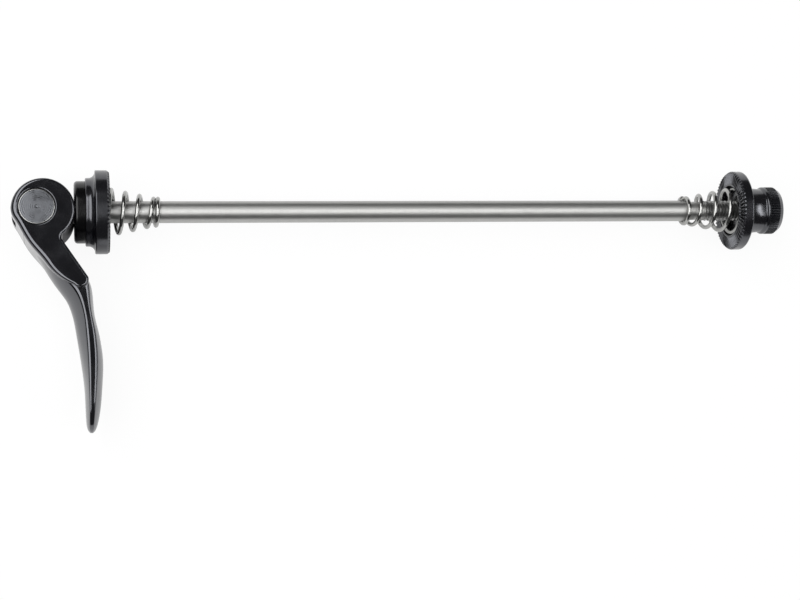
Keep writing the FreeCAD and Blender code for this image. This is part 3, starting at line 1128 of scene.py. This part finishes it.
@dataclass(frozen=True)
class Cheeks:
    """Round cam head, and the flat cheeks that run from it down the arm to a rounded tongue.

    Attributes:
        cam_offset: the cam's middle from the pin, in plan.
        inner: reach of the straight inner edge from the arm's line.
        outer: reach of the outer edge at both its ends.
        bow: how much further it reaches in its middle.
        notch_radius: hollow round where the inner edge meets the cam.
        heel_radius: round where the outer edge leaves the cam.
        taper_length: length of the arm over which the outer edge turns in.
        crisp: rounding of the edges on the inner side, the cam and the tongue.
        soft: rounding of the outer edge.
        cam_crisp_share: share of the cam's edge that stays crisp.
    """

    line: ArmLine = ArmLine()
    width: float = 15.0
    cam_radius: float = 7.0
    cam_offset: tuple[float, float] = (1.35, -0.6)
    inner: float = 3.25
    outer: float = 2.6
    bow: float = 0.45
    notch_radius: float = 1.0
    heel_radius: float = 4.0
    taper_length: float = 4.9
    taper_radius: float = 13.5
    tongue_length: float = 4.2
    tongue_radius: float = 1.7
    crisp: float = 0.55
    soft: float = 1.1
    cam_crisp_share: float = 0.6
    rounding_flats: int = 6
    cam_flats: int = 48
    corner_flats: int = 14

    @staticmethod
    def arc(middle: tuple[float, float], radius: float, start: float, turn: float, flats: int,
            roundings: tuple[float, float]) -> list[RimPoint]:
        """Points of a round stretch of the outline, without its last one.

        Args:
            middle: travel and reach of the arc's middle.
            radius: its radius.
            start: angle of its first point from the arm's direction towards the outer side.
            turn: how far it goes round from there.
            flats: number of flats.
            roundings: the edge's rounding at both ends.

        Returns:
            The points in order.
        """
        points = []
        for step in range(flats):
            part = step / flats
            angle = start + turn * part
            points.append(RimPoint(middle[0] + radius * math.cos(angle), middle[1] + radius * math.sin(angle),
                                   roundings[0] + (roundings[1] - roundings[0]) * part))
        return points

    def bowed_edge(self, start: float, end: float) -> list[RimPoint]:
        """Points of the long outer edge, without its last one.

        Args:
            start: travel where it starts.
            end: travel where it ends.

        Returns:
            The points in order.
        """
        parts = [step / self.corner_flats for step in range(self.corner_flats)]
        return [RimPoint(start + (end - start) * part, self.outer + self.bow * math.sin(math.pi * part) ** 2,
                         self.soft) for part in parts]

    def outline(self) -> list[RimPoint]:
        """Go once round the cheek: cam, heel, outer edge, taper, tongue, inner edge and notch.

        Returns:
            The points in order, with the metal on their right.
        """
        offset = Vector((*self.cam_offset, 0.0))
        cam = offset.dot(self.line.along), offset.dot(self.line.outwards) - self.line.arm_side
        notch_rise = -self.inner - self.notch_radius - cam[1]
        notch_reach = self.cam_radius + self.notch_radius
        notch_angle = math.asin(notch_rise / notch_reach)
        notch = cam[0] + notch_reach * math.cos(notch_angle), cam[1] + notch_rise
        heel_rise = self.outer - self.heel_radius - cam[1]
        heel_reach = self.cam_radius - self.heel_radius
        heel_angle = math.pi - math.asin(heel_rise / heel_reach)
        heel = cam[0] + heel_reach * math.cos(heel_angle), cam[1] + heel_rise
        cam_turn = heel_angle - FULL_TURN - notch_angle
        crisp_turn = cam_turn * self.cam_crisp_share
        taper = self.line.arm_length - self.taper_length, self.outer - self.taper_radius
        tip = self.line.arm_length + self.tongue_length
        taper_turn = math.asin((tip - self.tongue_radius - taper[0]) / self.taper_radius)
        tongue_outer = taper[1] + self.taper_radius * math.cos(taper_turn)
        half = (tongue_outer + self.inner) / 2
        round_radius = (half ** 2 + self.tongue_radius ** 2) / (2 * self.tongue_radius)
        tongue = tip - round_radius, tongue_outer - half
        tongue_angle = math.atan2(half, round_radius - self.tongue_radius)
        crisp, soft = (self.crisp, self.crisp), (self.soft, self.soft)
        return [
            *self.arc(cam, self.cam_radius, notch_angle, crisp_turn, self.cam_flats, crisp),
            *self.arc(cam, self.cam_radius, notch_angle + crisp_turn, cam_turn - crisp_turn, self.cam_flats,
                      (self.crisp, self.soft)),
            *self.arc(heel, self.heel_radius, heel_angle, math.pi / 2 - heel_angle, self.corner_flats, soft),
            *self.bowed_edge(heel[0], taper[0]),
            *self.arc(taper, self.taper_radius, math.pi / 2, -taper_turn, self.corner_flats,
                      (self.soft, self.crisp)),
            *self.arc(tongue, round_radius, tongue_angle, -2 * tongue_angle, self.corner_flats, crisp),
            *self.arc(notch, self.notch_radius, math.pi / 2, math.pi / 2 + notch_angle, self.corner_flats,
                      crisp),
        ]

    def ring(self, outline: list[RimPoint], side: int, angle: float) -> list[Vector]:
        """One level of the rounded edge.

        Args:
            outline: the cheek's outline.
            side: 1 for the upper cheek and -1 for the lower.
            angle: how far round the edge, from 0 at the wall to a right angle at the cheek.

        Returns:
            The level's points, in millimetres.
        """
        points = []
        for before, here, after in zip(outline[-1:] + outline[:-1], outline, outline[1:] + outline[:1]):
            step = Vector((after.travel - before.travel, after.reach - before.reach)).normalized()
            inset = here.rounding * (1 - math.cos(angle))
            height = self.width / 2 - here.rounding * (1 - math.sin(angle))
            points.append(self.line.spot(here.travel + step.y * inset, here.reach - step.x * inset,
                                         side * height))
        return points

    def build(self) -> Object:
        """Loft the outline through the levels of both rounded edges.

        Returns:
            The head and cheeks, in millimetres.
        """
        outline = self.outline()
        angles = [math.pi / 2 * step / self.rounding_flats for step in range(self.rounding_flats + 1)]
        rings = [self.ring(outline, -1, angle) for angle in reversed(angles)]
        rings += [self.ring(outline, 1, angle) for angle in angles]
        return Workshop.rough_object(Workshop.loft(rings), "lever_body")


@dataclass(frozen=True)
class Section:
    """Section of the arm or blade.

    Attributes:
        at: share of the way from the pin to the tip.
        outer: reach of the outer face from the middle line.
        inner: reach of the inner face.
        crown_out: how much of the outer reach is domed.
        crown_in: how much of the inner reach is domed.
        width: share of the head's width.
    """

    at: float
    outer: float
    inner: float
    crown_out: float
    crown_in: float
    width: float

    def values(self) -> tuple[float, ...]:
        """The sizes in order, without the place."""
        return self.outer, self.inner, self.crown_out, self.crown_in, self.width


@dataclass(frozen=True)
class Blade:
    """Arm and blade of the lever: a lens in section, with a crisp band along both sides.

    Attributes:
        head_width: width of the head, which the sections' widths are shares of.
        rings: number of sections that are drawn.
        edge_support: how close to an edge the next line of points lies, which sets the edge's rounding.
        domed: places of the points across a domed face, as shares of half its width.
        sections: the listed sections.
    """

    line: ArmLine = ArmLine()
    head_width: float = 15.0
    rings: int = 34
    edge_support: float = 1.0
    domed: tuple[float, ...] = (-0.62, -0.3, 0.0, 0.3, 0.62)
    sections: tuple[Section, ...] = (
        Section(0.020, 2.35, 2.6, 0.2, 0.2, 0.900),
        Section(0.090, 2.75, 2.6, 0.4, 0.2, 0.900),
        Section(0.190, 3.0, 2.6, 0.7, 0.2, 0.907),
        Section(0.295, 3.4, 2.7, 1.8, 0.2, 0.920),
        Section(0.333, 3.35, 3.4, 2.4, 0.3, 0.918),
        Section(0.365, 3.2, 3.9, 2.8, 0.6, 0.913),
        Section(0.425, 2.4, 3.3, 2.7, 0.9, 0.873),
        Section(0.500, 2.0, 2.8, 2.5, 0.8, 0.860),
        Section(0.580, 2.0, 3.1, 2.2, 1.0, 0.873),
        Section(0.690, 1.8, 3.2, 1.6, 1.4, 0.893),
        Section(0.810, 1.5, 2.5, 1.0, 1.4, 0.867),
        Section(0.905, 1.4, 1.9, 0.9, 1.3, 0.760),
        Section(0.965, 1.2, 1.3, 0.7, 0.9, 0.560),
        Section(0.990, 0.8, 0.8, 0.4, 0.5, 0.320),
        Section(1.000, 0.3, 0.3, 0.15, 0.15, 0.120),
    )

    def section_at(self, share: float) -> Section:
        """Section on smooth curves through the listed ones.

        Args:
            share: share of the way from the pin to the tip.

        Returns:
            The section.
        """
        rows = self.sections
        last = len(rows) - 1
        row = max(index for index in range(last) if rows[index].at <= share or index == 0)
        before, low = rows[max(row - 1, 0)], rows[row]
        high, after = rows[row + 1], rows[min(row + 2, last)]
        span = high.at - low.at
        t = (share - low.at) / span
        sizes = []
        for b, l, h, a in zip(before.values(), low.values(), high.values(), after.values()):
            slope_low = (h - b) / (high.at - before.at) * span
            slope_high = (a - l) / (after.at - low.at) * span
            bend = (slope_low - h + l) * (1 - t) - (slope_high - h + l) * t
            sizes.append(l + (h - l) * t + t * (1 - t) * bend)
        return Section(share, *sizes)

    def ring(self, share: float) -> list[Vector]:
        """Points round one section: two domes, with points beside each edge that keep it crisp.

        Args:
            share: share of the way from the pin to the tip.

        Returns:
            The points in order.
        """
        section = self.section_at(share)
        middle, heading = self.line.at(share)
        outwards = self.line.heading(heading - 90)
        half = section.width * self.head_width / 2
        out_edge = section.outer - section.crown_out
        in_edge = section.inner - section.crown_in
        support = min(self.edge_support, (out_edge + in_edge) / 3, half / 4)
        near = 1 - support / half
        across = (-1.0, -near, *self.domed, near, 1.0)
        points = [middle + outwards * (section.outer - section.crown_out * w ** 2) + Vector((0, 0, w * half))
                  for w in across]
        points.append(middle + outwards * (out_edge - support) + Vector((0, 0, half)))
        points.append(middle - outwards * (in_edge - support) + Vector((0, 0, half)))
        points += [middle - outwards * (section.inner - section.crown_in * w ** 2) + Vector((0, 0, w * half))
                   for w in reversed(across)]
        points.append(middle - outwards * (in_edge - support) - Vector((0, 0, half)))
        points.append(middle + outwards * (out_edge - support) - Vector((0, 0, half)))
        return points

    def build(self) -> Object:
        """Loft the sections, closer together towards the tip, and smooth them.

        Returns:
            The arm and blade, in millimetres.
        """
        first = self.sections[0].at
        shares = [first + (1 - first) * math.sin(math.pi / 2 * step / self.rings)
                  for step in range(self.rings + 1)]
        rough = Workshop.rough_object(Workshop.loft([self.ring(share) for share in shares]), "lever_blade")
        smooth = rough.modifiers.new("smooth", "SUBSURF")
        smooth.levels = 2
        smooth.render_levels = 2
        Workshop.settle(rough)
        return rough


@dataclass(frozen=True)
class Lever:
    """Cam lever with its fork slot and pin bore, and the steel cross pin in its head.

    Attributes:
        pin_inset: how far the pin's ends lie below the cheeks.
        dimple_radius: radius of the centre mark in the pin's ends.
        bore_clearance: gap between the pin and its bore.
        overcut: how far a tool stands out of what it cuts.
        slot_half: half the fork slot's width.
    """

    line: ArmLine = ArmLine()
    cheeks: Cheeks = Cheeks()
    blade: Blade = Blade()
    pin_radius: float = 4.0
    pin_inset: float = 0.25
    pin_rounding: float = 0.22
    pin_flats: int = 6
    dimple_radius: float = 0.4
    dimple_depth: float = 0.32
    bore_clearance: float = 0.05
    bore_rounding: float = 0.3
    bore_flats: int = 5
    overcut: float = 0.1
    slot_half: float = 2.9
    pin_steps: int = 96

    def build(self, black: Material, steel: Material) -> None:
        """Make the lever and its pin.

        Args:
            black: the lever's finish.
            steel: the pin's finish.
        """
        lever = self.cheeks.build()
        Workshop.join(lever, self.blade.build(), Joining.UNION)
        Workshop.join(lever, self.fork_slot(), Joining.CUT)
        Workshop.join(lever, self.bore(), Joining.CUT)
        Workshop.clean(lever)
        Workshop.hand_over(lever, black, Body.LEVER, "lever", ("lever",))
        self.build_pin(steel)

    def fork_slot(self) -> Object:
        """Tool that cuts the slot in which the rod lies while the lever swings.

        Returns:
            The tool.
        """
        reach = 4 * self.cheeks.cam_radius
        slot = bmesh.new()
        bmesh.ops.create_cube(slot, size=1.0)
        bmesh.ops.scale(slot, vec=(reach, reach / 2, 2 * self.slot_half), verts=slot.verts)
        bmesh.ops.translate(slot, vec=(self.line.pin_x, reach / 4 - self.slot_half, 0), verts=slot.verts)
        return Workshop.rough_object(slot, "fork_slot")

    def bore(self) -> Object:
        """Tool that bores the head and rounds the bore's edges.

        Returns:
            The tool.
        """
        radius = self.pin_radius + self.bore_clearance
        throat = self.cheeks.width / 2 - self.bore_rounding
        flare = [Corner(self.cheeks.width / 2 + self.overcut, 0.0)]
        flare.append(Corner(flare[0].x, radius + self.bore_rounding))
        for step in reversed(range(self.bore_flats + 1)):
            angle = math.pi / 2 * step / self.bore_flats
            flare.append(Corner(throat + self.bore_rounding * math.sin(angle),
                                radius + self.bore_rounding * (1 - math.cos(angle))))
        far = [Corner(-corner.x, corner.r) for corner in flare]
        tool = Workshop.turn([*flare, *reversed(far)], self.pin_steps, closed=False)
        Workshop.stand_up(tool, self.line.pin_x)
        return Workshop.rough_object(tool, "pin_bore")

    def build_pin(self, steel: Material) -> None:
        """Make the cross pin.

        Args:
            steel: the pin's finish.
        """
        end = self.cheeks.width / 2 - self.pin_inset
        pin = Workshop.turn([
            Corner(self.dimple_depth - end, 0.0),
            Corner(-end, self.dimple_radius),
            Corner(-end, self.pin_radius, self.pin_rounding, self.pin_flats),
            Corner(end, self.pin_radius, self.pin_rounding, self.pin_flats),
            Corner(end, self.dimple_radius),
            Corner(end - self.dimple_depth, 0.0),
        ], self.pin_steps, closed=False)
        Workshop.stand_up(pin, self.line.pin_x)
        piece = Workshop.rough_object(pin, "lever_cross_pin")
        Workshop.hand_over(piece, steel, Body.ROD, "barrel", ("cam_barrel",))


@dataclass(frozen=True)
class StripLamp:
    """Long narrow soft light that lies across the rod's direction.

    Attributes:
        name: the lamp's name.
        place: where it hangs, in millimetres.
        length: its length across the rod's direction.
        width: its width along the rod's direction.
        power: its power in watts.
        shape: the outline of its face.
        aim: the point that it looks at.
    """

    name: str
    place: tuple[float, float, float]
    length: float
    width: float
    power: float
    shape: LampShape = LampShape.SQUARE_CUT
    aim: tuple[float, float, float] = (70.0, 0.0, 0.0)

    def build(self) -> None:
        """Hang the lamp and turn it to its aim."""
        data = bpy.data.lights.new(self.name, "AREA")
        data.shape = self.shape.value
        data.size = self.width * MM
        data.size_y = self.length * MM
        data.energy = self.power
        back = (Vector(self.place) - Vector(self.aim)).normalized()
        across = Vector((0, 1, 0))
        across = (across - back * across.dot(back)).normalized()
        axes = Matrix((across.cross(back), across, back)).transposed()
        lamp = bpy.data.objects.new(self.name, data)
        lamp.matrix_world = Matrix.Translation(Vector(self.place) * MM) @ axes.to_4x4()
        bpy.context.scene.collection.objects.link(lamp)


@dataclass(frozen=True)
class Studio:
    """White table, soft light over it and a dim room round it.

    Attributes:
        floor_reach: half the table's side, in metres.
        floor_glow: share of the table's colour that is a plain white to the eye.
        mirror_glow: the same in reflections, so that black metal stays dark over a white table.
        floor_colour: colour of the table's paper.
        room: how bright the room is.
        lamps: the soft lights.
    """

    floor_reach: float = 4.0
    floor_glow: float = 0.93
    mirror_glow: float = 0.42
    floor_colour: str = "#f8f8f8"
    room: float = 0.07
    lamps: tuple[StripLamp, ...] = (
        StripLamp("left_strip", (-330.0, 80.0, 650.0), 1200.0, 560.0, 7.0),
        StripLamp("rod_strip", (200.0, -40.0, 650.0), 450.0, 240.0, 1.25),
        StripLamp("nut_strip", (690.0, -110.0, 650.0), 820.0, 150.0, 1.9, LampShape.OVAL),
    )

    def build(self) -> None:
        """Set up the table, the lamps and the room."""
        self.build_floor()
        for lamp in self.lamps:
            lamp.build()
        world = bpy.data.worlds.new("studio_room")
        bpy.context.scene.world = world
        world.use_nodes = True
        background = world.node_tree.nodes["Background"]
        background.inputs["Color"].default_value = linear(WHITE)
        background.inputs["Strength"].default_value = self.room
        bpy.context.scene.view_settings.view_transform = "Standard"

    def build_floor(self) -> None:
        """Lay the table at the object's lowest point."""
        table = bmesh.new()
        bmesh.ops.create_grid(table, x_segments=1, y_segments=1, size=self.floor_reach)
        bmesh.ops.translate(table, vec=(0, 0, CAD_BOX[0].z), verts=table.verts)
        floor = Workshop.rough_object(table, "studio_table")
        material = bpy.data.materials.new("white_table")
        material.use_nodes = True
        tree = material.node_tree
        tree.nodes.clear()
        path = add_node(tree, "ShaderNodeLightPath")
        seen = add_node(tree, "ShaderNodeMath", {
            0: path.outputs["Is Camera Ray"], 1: self.floor_glow}, operation="MULTIPLY")
        share = add_node(tree, "ShaderNodeMath", {
            0: path.outputs["Is Glossy Ray"], 1: self.mirror_glow, 2: seen.outputs["Value"]},
            operation="MULTIPLY_ADD")
        paper = add_node(tree, "ShaderNodeBsdfDiffuse", {"Color": linear(self.floor_colour)})
        glow = add_node(tree, "ShaderNodeEmission", {"Color": linear(WHITE), "Strength": 1.0})
        mixed = add_node(tree, "ShaderNodeMixShader", {
            0: share.outputs["Value"], 1: paper.outputs["BSDF"], 2: glow.outputs["Emission"]})
        add_node(tree, "ShaderNodeOutputMaterial", {"Surface": mixed.outputs["Shader"]})
        floor.data.materials.append(material)


@dataclass(frozen=True)
class PhotoCamera:
    """Camera at the photograph's place.

    Attributes:
        focal_px: focal length in pixels of an image 800 wide.
        yaw: turn of the rod away from the image plane, in degrees.
        pitch: lean of the pivot towards the top of the image.
        roll: turn about the line of sight.
        origin: the object's origin seen from the camera: right, down and ahead.
        clip_mm: distance from which the camera sees.
    """

    focal_px: float = 1700.0
    image_width: int = 800
    sensor_mm: float = 36.0
    yaw: float = 11.404
    pitch: float = 8.074
    roll: float = -0.746
    origin: tuple[float, float, float] = (-65.859, -19.865, 385.006)
    clip_mm: float = 10.0

    def build(self) -> None:
        """Make the camera and look through it."""
        yaw, pitch, roll = (math.radians(angle) for angle in (self.yaw, self.pitch, self.roll))
        towards = Vector((math.sin(yaw), 0, -math.cos(yaw)))
        up = Vector((0, -1, 0))
        axes = Matrix((
            Vector((math.cos(yaw), 0, math.sin(yaw))),
            math.cos(pitch) * up - math.sin(pitch) * towards,
            math.cos(pitch) * towards + math.sin(pitch) * up,
        )).transposed()
        axes = Matrix.Rotation(roll, 3, "Z") @ axes
        place = -(axes.transposed() @ Vector(self.origin)) * MM
        view = axes.transposed() @ Matrix(((1, 0, 0), (0, -1, 0), (0, 0, -1)))
        data = bpy.data.cameras.new("photo_camera")
        data.sensor_fit = "HORIZONTAL"
        data.sensor_width = self.sensor_mm
        data.lens = self.sensor_mm * self.focal_px / self.image_width
        data.clip_start = self.clip_mm * MM
        camera = bpy.data.objects.new("photo_camera", data)
        camera.matrix_world = Matrix.Translation(place) @ view.to_4x4()
        bpy.context.scene.collection.objects.link(camera)
        bpy.context.scene.camera = camera


def main() -> None:
    """Build the skewer from one end to the other, then the studio and the camera."""
    logging.basicConfig(level=logging.INFO, format="%(name)s %(message)s")
    polished = CamBlack(
        "polished_black_anodised_aluminium", "#040405", roughness=0.1, metallic=0.0,
        grain_mm=0.35, grain_depth_mm=0.002, ior=1.95).material()
    satin = AnodisedBlack(
        "satin_black_anodised_aluminium", "#030304", roughness=0.19, metallic=0.0,
        grain_mm=0.3, grain_depth_mm=0.002, ior=1.85).material()
    ground = GroundSteel(
        "ground_steel_bar", "#b2b2b0", roughness=0.48, metallic=1.0,
        grain_mm=0.3, grain_depth_mm=0.001).material()
    rolled = GroundSteel(
        "rolled_steel_thread", "#949493", roughness=0.32, metallic=1.0,
        grain_mm=0.2, grain_depth_mm=0.001, drawn_out=0.0).material()
    turned = TurnedSteel(
        "turned_steel_pin_end", "#6d6f73", roughness=0.3, metallic=1.0,
        grain_mm=0.45, grain_depth_mm=0.005, axis_x_mm=ArmLine().pin_x).material()
    wire = DrawnWire(
        "bright_stainless_wire", "#a4a4a2", roughness=0.16, metallic=1.0,
        grain_mm=0.3, grain_depth_mm=0.002).material()
    plastic = MouldedPlastic(
        "moulded_black_acetal", "#030304", roughness=0.2, metallic=0.0,
        grain_mm=0.2, grain_depth_mm=0.002, ior=1.42).material()
    Lever().build(polished, turned)
    Rod().build(ground, rolled)
    EndCap().build(satin, plastic)
    Spring("lever_spring", Body.CAP, Side.LEVER_END, seat_x=-1.65, length=13.2).build(wire)
    Spring("nut_spring", Body.NUT_SPRING, Side.NUT_END, seat_x=150.65, length=14.3).build(wire)
    Nut().build(satin, plastic)
    Studio().build()
    PhotoCamera().build()


if __name__ == "__main__":
    main()
